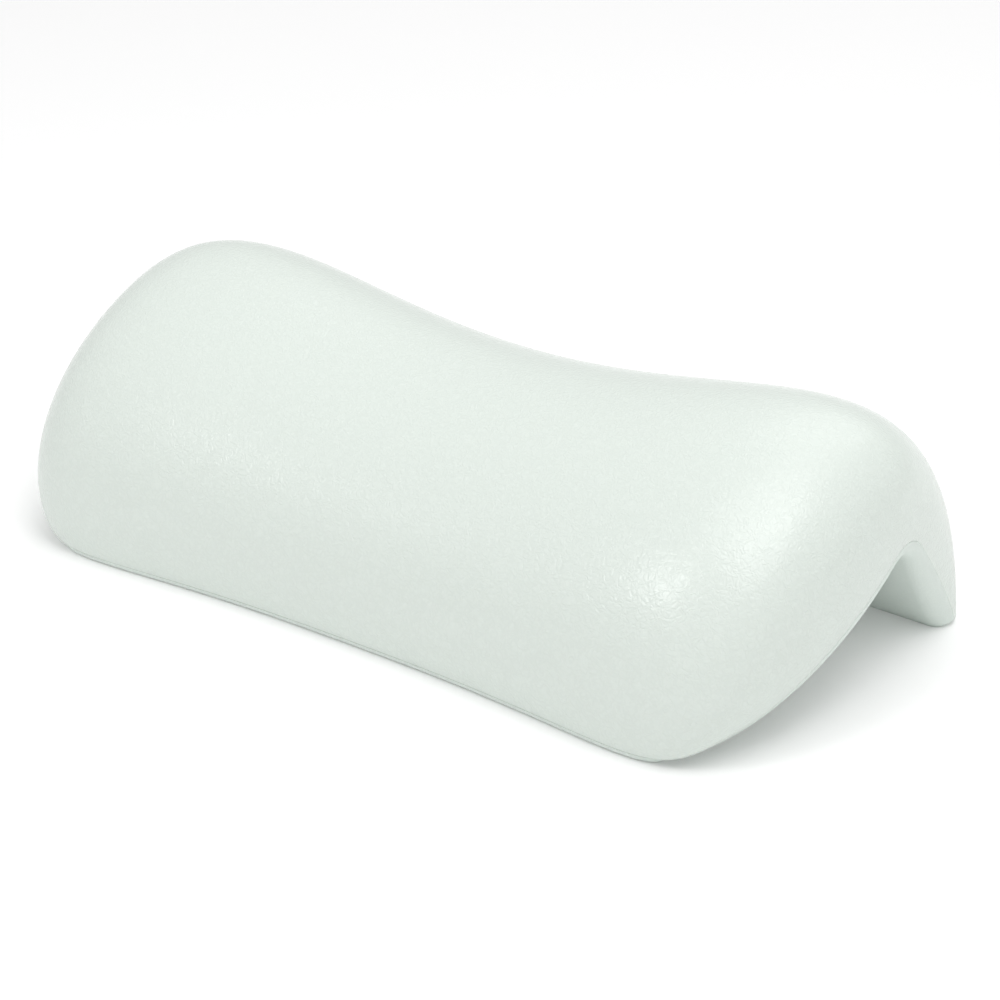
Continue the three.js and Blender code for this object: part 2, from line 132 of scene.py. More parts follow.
# %% [markdown]
# The same rule is needed twice: with plain numbers for the underside, and inside a Geometry Nodes tree
# for the outer skin. A `Field` stands for a socket of a node tree, and its plus, minus, times and power
# add Math nodes. A rule written in sums then works on both.

# %% Numbers and fields


def add_node(tree, kind, inputs=None, **settings):
    """Adds a node, sets its options and fills or links its inputs."""
    made = tree.nodes.new(kind)
    for name, value in settings.items():
        setattr(made, name, value)
    for name, value in (inputs or {}).items():
        if isinstance(value, Field):
            value = value.socket
        if isinstance(value, bpy.types.NodeSocket):
            tree.links.new(value, made.inputs[name])
        else:
            made.inputs[name].default_value = value
    return made


class Field:
    """A socket of a node tree that can be used in sums like a number."""

    def __init__(self, tree, socket):
        self.tree = tree
        self.socket = socket

    def combined(self, operation, *values):
        node = add_node(self.tree, "ShaderNodeMath", dict(enumerate(values)), operation=operation)
        return Field(self.tree, node.outputs[0])

    def __add__(self, other):
        return self.combined("ADD", self, other)

    def __radd__(self, other):
        return self.combined("ADD", other, self)

    def __sub__(self, other):
        return self.combined("SUBTRACT", self, other)

    def __rsub__(self, other):
        return self.combined("SUBTRACT", other, self)

    def __mul__(self, other):
        return self.combined("MULTIPLY", self, other)

    def __rmul__(self, other):
        return self.combined("MULTIPLY", other, self)

    def __truediv__(self, other):
        return self.combined("DIVIDE", self, other)

    def __rtruediv__(self, other):
        return self.combined("DIVIDE", other, self)

    def __pow__(self, other):
        return self.combined("POWER", self, other)

    def __neg__(self):
        return self.combined("MULTIPLY", self, -1)

    def __abs__(self):
        return self.combined("ABSOLUTE", self)


def at_least(value, low):
    if isinstance(value, Field):
        return value.combined("MAXIMUM", value, low)
    return max(value, low)


def at_most(value, high):
    if isinstance(value, Field):
        return value.combined("MINIMUM", value, high)
    return min(value, high)


def as_share(value):
    return at_most(at_least(value, 0), 1)


def mix(a, b, t):
    return a + (b - a) * t


def bezier(handles, t):
    """Mixes neighbours until one value is left."""
    while len(handles) > 1:
        handles = [mix(a, b, t) for a, b in zip(handles, handles[1:])]
    return handles[0]


print("bezier of 0, 1, 1 at a half:", bezier([0, 1, 1], 0.5))

# %% [markdown]
# Now the rule itself. The inner line is two straight slopes with an eased ridge, and the outer line is
# a cubic curve up the front and another up the back that meet at the crown. Where one of the two curves
# has ended, it stays at the crown, so the two can be added and the crown taken off once, with no branch.

# %% Inner and outer line


def slope(size, toe):
    """Foot at the parting height, and the point where the ridge's easing starts, as (y, z)."""
    run = (toe * toe + size.ridge_height * size.ridge_height) ** 0.5
    ease = size.ridge_ease / run
    foot = (toe * (1 - size.parting_height / size.ridge_height), size.parting_height)
    return foot, (toe * ease, size.ridge_height * (1 - ease))


def channel_line(size, w):
    front_foot, front_ease = slope(size, size.front_sole - size.front_reach)
    back_foot, back_ease = slope(size, size.back_reach - size.back_sole)
    ridge = (0, size.ridge_height)
    up = as_share((w + 1) / (1 - RIDGE_SHARE))
    over = as_share((w + RIDGE_SHARE) / (2 * RIDGE_SHARE))
    down = as_share((w - RIDGE_SHARE) / (1 - RIDGE_SHARE))
    return [
        mix(front_foot[axis], front_ease[axis], up)
        + (bezier([front_ease[axis], ridge[axis], back_ease[axis]], over) - front_ease[axis])
        + (back_foot[axis] - back_ease[axis]) * down
        for axis in (0, 1)
    ]


def outer_line(size, w, lobe):
    height = size.crown_height + size.lobe_rise * lobe
    crown = size.lobe_crown_back * lobe - size.crown_forward
    stretch = height / size.crown_height
    foot = size.parting_height
    front = 1 - at_least(-w, 0)
    back = 1 - at_least(w, 0)
    front_lean = size.front_bulge + size.lobe_front_swell * lobe
    back_lean = size.back_bulge + size.lobe_back_swell * lobe
    front_foot = -size.front_reach
    back_foot = size.back_reach
    y_front = bezier([front_foot, front_foot - front_lean, crown - size.front_crown_reach, crown], front)
    y_back = bezier([back_foot, back_foot + back_lean, crown + size.back_crown_reach, crown], back)
    z_front = bezier([foot, foot + size.front_bulge_rise * stretch, height, height], front)
    z_back = bezier([foot, foot + size.back_bulge_rise * stretch, height, height], back)
    return [y_front + y_back - crown, z_front + z_back - height]


def lobe_share(s):
    """0 at mid-length and 1 at the ends, with the lobe's plateau before them."""
    rise = s * s
    return rise * (1 + LOBE_PLATEAU * (1 - rise))


print("ridge at mid-length, in mm:", [round(c / MM, 1) for c in channel_line(sizes, 0)])

# %% [markdown]
# A ray joins the two lines at each place. A point of the outer skin starts at the far end of its ray and
# is drawn in by the dome of the pillow's end. A point of the channel stays at the near end and turns
# outwards over the rounded edge of the end. The two skins meet there, on the parting line. The ends
# themselves fall back in a round towards the two front corners.

# %% Points of the two skins


def section_ray(size, s, w):
    """The ray from the channel to the outer line at one place of the form."""
    lobe = lobe_share(s)
    inner = channel_line(size, w)
    outer = outer_line(size, w, lobe)
    span = [far - near for far, near in zip(outer, inner)]
    depth = (span[0] * span[0] + span[1] * span[1]) ** 0.5
    front_fall = at_least((FRONT_CORNER_SHARE - 1 - w) / FRONT_CORNER_SHARE, 0)
    front_round = at_least(1 - front_fall * front_fall, 0) ** (1 / FRONT_CORNER_FULLNESS)
    end = size.length / 2 - size.front_corner_setback * (1 - front_round)
    edge = at_most(depth / 2, size.end_edge_radius)
    draw = 1 - size.waist / (size.front_reach + size.back_reach) * (1 - abs(s) ** WAIST_POWER)
    return SimpleNamespace(inner=inner, span=span, depth=depth, end=end, edge=edge, draw=draw)


def point_on(size, ray, s, distance):
    y = ray.inner[0] + ray.span[0] / ray.depth * distance
    z = ray.inner[1] + ray.span[1] / ray.depth * distance
    return ray.end * s, size.back_reach - (size.back_reach - y) * ray.draw, z


def upper_point(size, s, w):
    ray = section_ray(size, s, w)
    dome = at_least(1 - abs(s) ** END_SQUARENESS, 0) ** (1 / END_FULLNESS)
    return point_on(size, ray, s, ray.edge + (ray.depth - ray.edge) * dome)


def end_level(ray, s):
    """1 in the middle, falling to 0 over the rounded edge of an end."""
    past = at_least(1 - ray.end * (1 - abs(s)) / ray.edge, 0)
    return at_least(1 - past * past, 0) ** 0.5


def lower_point(size, s, w):
    ray = section_ray(size, s, w)
    return point_on(size, ray, s, ray.edge * (1 - end_level(ray, s)))


print("crown at mid-length, in mm:", [round(c / MM, 1) for c in upper_point(sizes, 0, 0)])

# %% [markdown]
# Every piece of this lesson ends as a plain mesh at the origin. Geometry Nodes and modifiers do the
# shaping, and `settle` keeps what they made and takes them off again. The settings of a tree are given
# by the identifier of each socket, before the tree runs for the first time.

# %% Helpers for meshes and trees
RIM_SEGMENTS = 3
RIM_ANGLE = math.radians(55)


def new_object(name, mesh):
    made = bpy.data.objects.new(name, mesh)
    scene.collection.objects.link(made)
    return made


def settle(piece):
    """Keeps the result of a piece's modifiers as its own mesh."""
    depsgraph = bpy.context.evaluated_depsgraph_get()
    mesh = bpy.data.meshes.new_from_object(piece.evaluated_get(depsgraph), depsgraph=depsgraph)
    mesh.name = piece.name
    piece.modifiers.clear()
    piece.data = mesh
    return piece


def run_tree(piece, tree, values):
    modifier = piece.modifiers.new(tree.name, "NODES")
    modifier.node_group = tree
    for socket in tree.interface.items_tree:
        if socket.in_out == "INPUT" and socket.name in values:
            modifier[socket.identifier] = values[socket.name]
    return modifier


def thicken(piece, thickness, bevel):
    """Gives a sheet its wall, inwards, and rounds the rim of the wall."""
    wall = piece.modifiers.new("wall", "SOLIDIFY")
    wall.thickness = thickness
    wall.offset = -1
    wall.use_even_offset = True
    rim = piece.modifiers.new("rim", "BEVEL")
    rim.width = bevel
    rim.segments = RIM_SEGMENTS
    rim.limit_method = "ANGLE"
    rim.angle_limit = RIM_ANGLE


def box_of(piece):
    corners = [v.co for v in piece.data.vertices]
    low = Vector(min(c[axis] for c in corners) for axis in range(3))
    high = Vector(max(c[axis] for c in corners) for axis in range(3))
    return low, high


def describe(piece):
    low, high = box_of(piece)
    size = [round((b - a) / MM, 1) for a, b in zip(low, high)]
    print(piece.name, size, "mm,", len(piece.data.polygons), "faces")


print("rims are rounded in", RIM_SEGMENTS, "steps")

# %% [markdown]
# The skin is one self-skinned polyurethane moulding, so its colour is even and its life is in the grain
# of the mould: small rounded pebbles with fine creases between them, about a millimetre and a half
# across. A Voronoi pattern bent by noise makes the pebbles, and the lines where a second noise is at its
# middle value make the furrows that wander between them. The group puts out a height for the bump and a
# crease mask for roughness and for painted shade: a slightly darker colour in the creases.

# %% Grain of the moulded skin
BEND_PITCH = 0.4
BEND_REACH = 2.0
PEBBLE_EDGE = 0.32
WANDER_PITCH = 0.6
WANDER_TWIST = 0.6
FURROW_WIDTH = 0.16
PEBBLE_SHARE = 0.45


def new_group(name, inputs, outputs):
    tree = bpy.data.node_groups.new(name, "ShaderNodeTree")
    for label, kind in inputs.items():
        tree.interface.new_socket(label, in_out="INPUT", socket_type=kind)
    for label in outputs:
        tree.interface.new_socket(label, in_out="OUTPUT", socket_type="NodeSocketFloat")
    return tree, add_node(tree, "NodeGroupInput"), add_node(tree, "NodeGroupOutput")


def make_grain_group():
    tree, given, out = new_group(
        "Moulded grain",
        {"Vector": "NodeSocketVector", "Pebbles per metre": "NodeSocketFloat"},
        ["Height", "Crease"],
    )
    place = given.outputs["Vector"]
    pitch = Field(tree, given.outputs["Pebbles per metre"])
    bend = add_node(
        tree, "ShaderNodeTexNoise", {"Vector": place, "Scale": pitch * BEND_PITCH, "Detail": 1.0}
    )
    centred = add_node(
        tree, "ShaderNodeVectorMath", {0: bend.outputs["Color"], 1: (0.5, 0.5, 0.5)}, operation="SUBTRACT"
    )
    shift = add_node(
        tree,
        "ShaderNodeVectorMath",
        {0: centred.outputs[0], "Scale": BEND_REACH / pitch},
        operation="SCALE",
    )
    bent = add_node(tree, "ShaderNodeVectorMath", {0: place, 1: shift.outputs[0]}, operation="ADD")
    pebbles = add_node(
        tree,
        "ShaderNodeTexVoronoi",
        {"Vector": bent.outputs[0], "Scale": pitch},
        feature="DISTANCE_TO_EDGE",
    )
    rounded = add_node(
        tree,
        "ShaderNodeMapRange",
        {"Value": pebbles.outputs["Distance"], "From Max": PEBBLE_EDGE},
        interpolation_type="SMOOTHSTEP",
    )
    wander = add_node(
        tree,
        "ShaderNodeTexNoise",
        {
            "Vector": bent.outputs[0],
            "Scale": pitch * WANDER_PITCH,
            "Detail": 1.0,
            "Distortion": WANDER_TWIST,
        },
    )
    furrows = add_node(
        tree,
        "ShaderNodeMapRange",
        {"Value": abs(Field(tree, wander.outputs["Fac"]) - 0.5), "From Max": FURROW_WIDTH},
        interpolation_type="SMOOTHSTEP",
    )
    pebble = Field(tree, rounded.outputs["Result"])
    furrow = Field(tree, furrows.outputs["Result"])
    height = pebble * PEBBLE_SHARE + furrow * (1 - PEBBLE_SHARE)
    tree.links.new(height.socket, out.inputs["Height"])
    # The crease mask raises roughness, and darkens the colour in the furrows as painted shade.
    tree.links.new((1 - height).socket, out.inputs["Crease"])
    return tree


grain_group = make_grain_group()
print("grain group has", len(grain_group.nodes), "nodes")

# %% [markdown]
# A finish is a Principled shader in its own material. Two helpers set one up: `new_finish` makes the
# material with its plain numbers, and `make_skin` brings in the group, paints shade into the creases as
# a slightly darker colour, roughens them and feeds the height to a bump. Object coordinates keep the
# grain at its real size on every piece. The outside gets the full grain, and the underside a much finer,
# flatter one.

# %% Skin materials


def new_finish(name, color, roughness, **plain):
    material = bpy.data.materials.new(name)
    material.use_nodes = True
    material.diffuse_color = (*color, 1)
    shader = material.node_tree.nodes["Principled BSDF"]
    shader.inputs["Base Color"].default_value = (*color, 1)
    shader.inputs["Roughness"].default_value = roughness
    for label, value in plain.items():
        shader.inputs[label.replace("_", " ")].default_value = value
    return material, shader


def color_mix(tree, mask, light, dark):
    """A colour between two, by a mask."""
    blend = tree.nodes.new("ShaderNodeMix")
    blend.data_type = "RGBA"
    factor, light_in, dark_in = blend.inputs["Factor"], blend.inputs[6], blend.inputs[7]
    tree.links.new(mask, factor)
    light_in.default_value = (*light, 1)
    dark_in.default_value = (*dark, 1)
    return blend.outputs[2]


def value_range(tree, mask, low, high):
    ranged = add_node(tree, "ShaderNodeMapRange", {"Value": mask, "To Min": low, "To Max": high})
    return ranged.outputs["Result"]


def add_bump(tree, shader, height, distance):
    bump = add_node(tree, "ShaderNodeBump", {"Height": height, "Distance": distance, "Strength": 1.0})
    tree.links.new(bump.outputs["Normal"], shader.inputs["Normal"])
    return bump


def make_skin(name, light, dark, pebbles, relief, smooth, rough):
    material, shader = new_finish(name, light, smooth, IOR=1.46)
    tree = material.node_tree
    place = add_node(tree, "ShaderNodeTexCoord").outputs["Object"]
    grain = add_node(tree, "ShaderNodeGroup", node_tree=grain_group)
    tree.links.new(place, grain.inputs["Vector"])
    grain.inputs["Pebbles per metre"].default_value = pebbles
    # Painted shade: the creases get the darker colour.
    tree.links.new(color_mix(tree, grain.outputs["Crease"], light, dark), shader.inputs["Base Color"])
    tree.links.new(value_range(tree, grain.outputs["Crease"], smooth, rough), shader.inputs["Roughness"])
    add_bump(tree, shader, grain.outputs["Height"], relief)
    return material


grained_skin = make_skin(
    "grained_skin",
    light=(0.775, 0.838, 0.787),
    # painted shade in the creases
    dark=(0.745, 0.808, 0.757),
    pebbles=620.0,
    relief=0.08 * MM,
    smooth=0.19,
    rough=0.26,
)
smooth_skin = make_skin(
    "smooth_skin",
    light=(0.76, 0.83, 0.78),
    # painted shade in the creases
    dark=(0.74, 0.81, 0.76),
    pebbles=1100.0,
    relief=0.03 * MM,
    smooth=0.42,
    rough=0.5,
)
print("skin materials:", grained_skin.name, smooth_skin.name)

# %% [markdown]
# The outer skin is what the photo shows, so it takes the rule at a fine pitch. A cage with subdivision
# could be pushed to this shape by hand, but would only come near the rule. A Geometry Nodes tree is
# exact: a flat grid carries `s` and `w` as its X and Y, and one Set Position puts each point where the
# rule says. Every size is a named input of the tree, so the whole form can be resized by its inputs.
# The grid's lines are crowded towards the ends and the feet, where the form turns most.

# %% Tree of the outer skin
FOOT_CROWDING = 0.6


def crowded(w):
    """An even share of the arc, moved towards the nearer foot."""
    return w + FOOT_CROWDING * (w - w * w * w) / 2


def make_saddle_tree():
    tree = bpy.data.node_groups.new("Saddle form", "GeometryNodeTree")
    tree.interface.new_socket("Geometry", in_out="OUTPUT", socket_type="NodeSocketGeometry")
    kinds = {"Stations": "Int", "Columns": "Int", "Finish": "Material", "Ridge Y": "Float"}
    for label, kind in kinds.items():
        tree.interface.new_socket(label, in_out="INPUT", socket_type="NodeSocket" + kind)
    for label in SADDLE:
        tree.interface.new_socket(label, in_out="INPUT", socket_type="NodeSocketFloat")
    given = add_node(tree, "NodeGroupInput").outputs
    size = SimpleNamespace(
        **{label.lower().replace(" ", "_"): Field(tree, given[label]) for label in SADDLE}
    )
    grid = add_node(
        tree,
        "GeometryNodeMeshGrid",
        {"Size X": 2.0, "Size Y": 2.0, "Vertices X": given["Stations"], "Vertices Y": given["Columns"]},
    )
    place = add_node(tree, "GeometryNodeInputPosition").outputs["Position"]
    parts = add_node(tree, "ShaderNodeSeparateXYZ", {"Vector": place}).outputs
    u = Field(tree, parts["X"])
    w = crowded(Field(tree, parts["Y"]))
    sign = u.combined("SIGN", u)
    s = sign * (1 - at_least(1 - abs(u), 0) ** CROWDING)
    x, y, z = upper_point(size, s, w)
    y = y + Field(tree, given["Ridge Y"])
    target = add_node(tree, "ShaderNodeCombineXYZ", {"X": x, "Y": y, "Z": z})
    moved = add_node(
        tree,
        "GeometryNodeSetPosition",
        {"Geometry": grid.outputs["Mesh"], "Position": target.outputs["Vector"]},
    )
    smooth = add_node(tree, "GeometryNodeSetShadeSmooth", {"Geometry": moved.outputs["Geometry"]})
    real = add_node(tree, "GeometryNodeRealizeInstances", {"Geometry": smooth.outputs["Geometry"]})
    finish = add_node(
        tree,
        "GeometryNodeSetMaterial",
        {"Geometry": real.outputs["Geometry"], "Material": given["Finish"]},
    )
    out = add_node(tree, "NodeGroupOutput")
    tree.links.new(finish.outputs["Geometry"], out.inputs["Geometry"])
    return tree


saddle_tree = make_saddle_tree()
print("tree has", len(saddle_tree.nodes), "nodes")

# %% [markdown]
# The rule measures Y from the ridge of the channel, and the frame from the middle of its box. The middle
# of the rule's own box says how far apart the two are. A wall modifier makes the sheet 1.2 mm thick, and
# a small bevel rounds its lower rim, which is the upper half of the parting line.

# %% Outer skin
SKIN_WALL = 1.2 * MM
PARTING_EASE = 0.45 * MM
OUTER_STATIONS = 260
OUTER_COLUMNS = 180
RULE_STEPS = 100


def rule_middle():
    """Y of the middle of the rule's box, measured from the ridge."""
    shares = [step / RULE_STEPS for step in range(-RULE_STEPS, RULE_STEPS + 1)]
    feet = [upper_point(sizes, s, w)[1] for s in shares for w in shares]
    return (min(feet) + max(feet)) / 2


outer_low, outer_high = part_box("outer_skin")
ridge_y = (outer_low.y + outer_high.y) / 2 - rule_middle()
outer_skin = new_object("moulded_outer_skin", bpy.data.meshes.new("moulded_outer_skin"))
run_tree(
    outer_skin,
    saddle_tree,
    {
        **SADDLE,
        "Stations": OUTER_STATIONS,
        "Columns": OUTER_COLUMNS,
        "Finish": grained_skin,
        "Ridge Y": ridge_y,
    },
)
thicken(outer_skin, SKIN_WALL, PARTING_EASE)
settle(outer_skin)
describe(outer_skin)
print("ridge at Y", round(ridge_y / MM, 3), "mm")
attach(outer_skin, "pillow")
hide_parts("outer_skin")

# %% [markdown]
# Four suction cups plug into the underside, two against the bath's wall and two on its rim. Each has a
# seat: a place on the channel's face, and an axis that points out of it. The frame states a mount on
# the flat rim of each cup, so the seats are worked out from those mounts and nothing is typed twice.

# %% Seats of the cups
CUP_RADIUS = 17 * MM
CUP_RIM_WIDTH = 2 * MM
CUP_STAND = 7 * MM


def find_seats():
    seats = {}
    for mount in frame["record"]["mounts"]:
        if "_cup_" not in mount["name"]:
            continue
        row, _, hand, _ = mount["name"].split("_")
        out = Vector(mount["axis"]).normalized()
        across = out.cross(Vector((1, 0, 0)))
        rim = Vector(mount["pos_m"]) - across * (CUP_RADIUS - CUP_RIM_WIDTH / 2)
        side = -1 if hand == "left" else 1
        along = Vector((side, 0, 0))
        seats[row, hand] = SimpleNamespace(
            place=rim - out * CUP_STAND, out=out, along=along, across=out.cross(along)
        )
    return seats


seats = find_seats()
for (row, hand), seat in seats.items():
    print(row, hand, [round(c / MM, 2) for c in seat.place])

# %% [markdown]
# The underside is a second, smooth skin: the sole of the front, the channel and the sole of the back.
# The same rule gives its rows with plain numbers. Each row starts at the parting line, rounds the toe,
# runs along the sole, goes up and down the channel and ends at the parting line on the other side.

# %% Rows of the underside
UNDER_STATIONS = 180
CHANNEL_COLUMNS = 110
TOE_STEPS = 6
SOLE_STEPS = 5
MERGE = 0.005 * MM


def sole_points(s, side):
    """From the parting line round the toe and along the sole to the foot of the slope."""
    upper = upper_point(sizes, s, side)
    lower = lower_point(sizes, s, side)
    drop = sizes.parting_height * end_level(section_ray(sizes, s, side), s)
    half = (lower[1] - upper[1]) / 2
    toe = math.copysign(min(sizes.parting_height, abs(half)), half)
    reach = sizes.front_reach - sizes.front_sole if side < 0 else sizes.back_reach - sizes.back_sole
    run = math.copysign(min(reach * sizes.parting_height / sizes.ridge_height, abs(half)), half)
    points = []
    for step in range(TOE_STEPS + 1):
        turn = math.pi / 2 * step / TOE_STEPS
        points.append((upper[0], upper[1] + toe * (1 - math.cos(turn)), upper[2] - drop * math.sin(turn)))
    for step in range(1, SOLE_STEPS + 1):
        y = mix(upper[1] + toe, lower[1] - run, step / SOLE_STEPS)
        points.append((upper[0], y, upper[2] - drop))
    return points


def underside_row(s):
    row = sole_points(s, -1)
    shares = [crowded(2 * j / CHANNEL_COLUMNS - 1) for j in range(CHANNEL_COLUMNS + 1)]
    row += [lower_point(sizes, s, w) for w in shares]
    row += reversed(sole_points(s, 1))
    return [Vector((x, y + ridge_y, z)) for x, y, z in row]


def underside_sheet():
    mesh = bmesh.new()
    rows = []
    for i in range(UNDER_STATIONS + 1):
        u = 2 * i / UNDER_STATIONS - 1
        s = math.copysign(1 - (1 - abs(u)) ** CROWDING, u)
        rows.append([mesh.verts.new(p) for p in underside_row(s)])
    for near, far in zip(rows, rows[1:]):
        for j in range(len(near) - 1):
            mesh.faces.new((near[j], near[j + 1], far[j + 1], far[j]))
    bmesh.ops.remove_doubles(mesh, verts=mesh.verts, dist=MERGE)
    bmesh.ops.dissolve_degenerate(mesh, edges=mesh.edges, dist=MERGE)
    return mesh


sheet = underside_sheet()
print("underside sheet has", len(sheet.faces), "faces")

# %% [markdown]
# Round each seat the skin dips into a dish with soft shoulders and has a hole for the bush. A Boolean
# could cut it, but would leave a sharp lip. So the sheet is divided more finely there, and its points are
# pressed in by their distance from the seat's axis. The dish then follows the seat wherever the frame
# puts it.

# %% Dishes and wall of the underside
RECESS_DEPTH = 5 * MM
RECESS_FLOOR = 16 * MM
RECESS_MOUTH = 21.5 * MM
DISH_MARGIN = 3 * MM
FACE_REACH = 2 * MM
BUSH_HOLE = 5.8 * MM
HOLE_REACH = 8 * MM


def seat_radius(seat, point):
    away = point - seat.place
    return math.hypot(away.dot(seat.along), away.dot(seat.across))


def seat_height(seat, point):
    return (point - seat.place).dot(seat.out)


def press_dish(mesh, seat):
    reach = RECESS_MOUTH + DISH_MARGIN
    near = [e for e in mesh.edges if all(seat_radius(seat, v.co) < reach for v in e.verts)]
    near = [e for e in near if abs(seat_height(seat, e.verts[0].co)) < FACE_REACH]
    bmesh.ops.subdivide_edges(mesh, edges=near, cuts=2, use_grid_fill=True)
    around = [v for v in mesh.verts if abs(seat_height(seat, v.co)) < FACE_REACH]
    for v in around:
        radius = seat_radius(seat, v.co)
        share = as_share((RECESS_MOUTH - radius) / (RECESS_MOUTH - RECESS_FLOOR))
        v.co -= seat.out * RECESS_DEPTH * share * share * (3 - 2 * share)
    holed = [v for v in around if seat_radius(seat, v.co) < BUSH_HOLE]
    bmesh.ops.delete(mesh, geom=holed, context="VERTS")
    for v in mesh.verts:
        radius = seat_radius(seat, v.co)
        height = seat_height(seat, v.co)
        if v.is_boundary and radius < RECESS_FLOOR and abs(height) < HOLE_REACH:
            axis_point = seat.place + seat.out * height
            v.co = axis_point + (v.co - axis_point) * (BUSH_HOLE / radius)


def mesh_object(name, mesh, material):
    for face in mesh.faces:
        face.smooth = True
    data = bpy.data.meshes.new(name)
    mesh.to_mesh(data)
    mesh.free()
    data.materials.append(material)
    return new_object(name, data)


for seat in seats.values():
    press_dish(sheet, seat)
underside = mesh_object("moulded_underside", sheet, smooth_skin)
thicken(underside, SKIN_WALL, PARTING_EASE)
settle(underside)
describe(underside)
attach(underside, "pillow")
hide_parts("underside_skin")

# %% [markdown]
# The foam between the skins is one soft block with pockets for the plate and the bushes. It is never
# seen, but a cut or a see-through view would show it, so it gets its own form: a merged copy of the
# solid, remeshed into even small faces and relaxed, so its corners go soft like moulded foam.

# %% Foam filling
FOAM_VOXEL = 2.5 * MM
FOAM_MERGE = 0.01 * MM
FOAM_CELLS_PER_METRE = 900.0
FOAM_CLOUDS_PER_METRE = 60.0
FOAM_RELIEF = 0.4 * MM


def make_foam_finish():
    material, shader = new_finish("soft_foam", (0.85, 0.83, 0.72), 0.95)
    tree = material.node_tree
    place = add_node(tree, "ShaderNodeTexCoord").outputs["Object"]
    cells = add_node(tree, "ShaderNodeTexVoronoi", {"Vector": place, "Scale": FOAM_CELLS_PER_METRE})
    cloud = add_node(
        tree, "ShaderNodeTexNoise", {"Vector": place, "Scale": FOAM_CLOUDS_PER_METRE, "Detail": 3.0}
    )
    color = color_mix(tree, cloud.outputs["Fac"], (0.87, 0.85, 0.75), (0.80, 0.78, 0.66))
    tree.links.new(color, shader.inputs["Base Color"])
    tree.links.new(value_range(tree, cells.outputs["Distance"], 0.9, 1.0), shader.inputs["Roughness"])
    add_bump(tree, shader, cells.outputs["Distance"], FOAM_RELIEF)
    return material


def foam_block():
    mesh = bmesh.new()
    mesh.from_mesh(frame["nodes"]["foam_core"].data)
    bmesh.ops.remove_doubles(mesh, verts=mesh.verts, dist=FOAM_MERGE)
    block = mesh_object("foam_filling", mesh, make_foam_finish())
    even = block.modifiers.new("even", "REMESH")
    even.mode = "VOXEL"
    even.voxel_size = FOAM_VOXEL
    even.use_smooth_shade = True
    relax = block.modifiers.new("relax", "SMOOTH")
    relax.factor = 0.5
    relax.iterations = 2
    return settle(block)


foam = foam_block()
describe(foam)
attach(foam, "pillow")
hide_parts("foam_core")

# %% [markdown]
# Bushes and cups are turned pieces, so each is a profile swung round its axis. Real mouldings have no
# knife edges, so `rounded` eases the corners of a profile first. A corner is eased over less than half
# of the lines beside it, so two neighbours never meet.

# %% Turning a profile
TURN_STEPS = 64
AXIS_MERGE = 0.001 * MM
EASED_SHARE = 0.45


def rounded(profile, radius, steps=3):
    """Eases each corner of a profile between its first and last point."""
    points = [Vector(p) for p in profile]
    eased = [points[0]]
    for before, corner, after in zip(points, points[1:], points[2:]):
        reach_in = min(radius, (before - corner).length * EASED_SHARE)
        reach_out = min(radius, (after - corner).length * EASED_SHARE)
        start = corner + (before - corner).normalized() * reach_in
        end = corner + (after - corner).normalized() * reach_out
        eased += [bezier([start, corner, end], step / steps) for step in range(steps + 1)]
    eased.append(points[-1])
    return eased


def turned(profile):
    """Swings a profile of (radius, height) round Z, and closes it at the axis."""
    mesh = bmesh.new()
    verts = [mesh.verts.new((r, 0, h)) for r, h in profile]
    edges = [mesh.edges.new(pair) for pair in zip(verts, verts[1:])]
    bmesh.ops.spin(
        mesh,
        geom=verts + edges,
        axis=(0, 0, 1),
        cent=(0, 0, 0),
        dvec=(0, 0, 0),
        angle=math.tau,
        steps=TURN_STEPS,
        use_merge=True,
    )
    bmesh.ops.remove_doubles(mesh, verts=mesh.verts, dist=AXIS_MERGE)
    bmesh.ops.recalc_face_normals(mesh, faces=mesh.faces)
    return mesh


print("a square corner, eased, has", len(rounded([(0, 0), (1, 0), (1, 1)], 0.2)), "points")

# %% [markdown]
# Both profiles give radius and height and run from the axis to the axis. Heights are measured from the
# channel's face, outwards, so a bush lies below zero. A cup has a stud that fits the bore of its bush,
# a collar that stops it, and a thin bell whose outside and hollow are two smooth curves.

# %% Profiles of bush and cup
FLANGE_LOW = -4.7 * MM
FLANGE_HIGH = -3.1 * MM
RING_HIGH = -13.3 * MM
RING_LOW = -15.1 * MM
BUSH_END = -16 * MM
BORE_END = -14.5 * MM
BORE_RADIUS = 3.4 * MM
BARREL_RADIUS = 5.5 * MM
RING_RADIUS = 7.5 * MM
FLANGE_RADIUS = 10 * MM
BUSH_PROFILE = [
    (0, BUSH_END),
    (BARREL_RADIUS, BUSH_END),
    (BARREL_RADIUS, RING_LOW),
    (RING_RADIUS, RING_LOW),
    (RING_RADIUS, RING_HIGH),
    (BARREL_RADIUS, RING_HIGH),
    (BARREL_RADIUS, FLANGE_LOW),
    (FLANGE_RADIUS, FLANGE_LOW),
    (FLANGE_RADIUS, FLANGE_HIGH),
    (BORE_RADIUS, FLANGE_HIGH),
    (BORE_RADIUS, BORE_END),
    (0, BORE_END),
]
STUD_RADIUS = 3.1 * MM
STUD_TIP = -13.9 * MM
STUD_CHAMFER = 0.8 * MM
COLLAR_RADIUS = 6.5 * MM
COLLAR_SEAT = -2.8 * MM
COLLAR_SHOULDER = -1.2 * MM
CUP_ROOF = 1.4 * MM
CUP_LIP = 6.1 * MM
CUP_INNER = CUP_RADIUS - CUP_RIM_WIDTH
CORNER_EASE = 0.35 * MM
LIP_EASE = 0.3 * MM
BELL_STEPS = 16
BELL = [(COLLAR_RADIUS, COLLAR_SHOULDER), (CUP_INNER, CUP_ROOF), (CUP_RADIUS, CUP_LIP)]
HOLLOW = [(CUP_INNER, CUP_STAND), (CUP_INNER / 2, CUP_ROOF), (0, CUP_ROOF)]


def curve_points(handles, steps):
    return [bezier([Vector(h) for h in handles], step / steps) for step in range(steps + 1)]


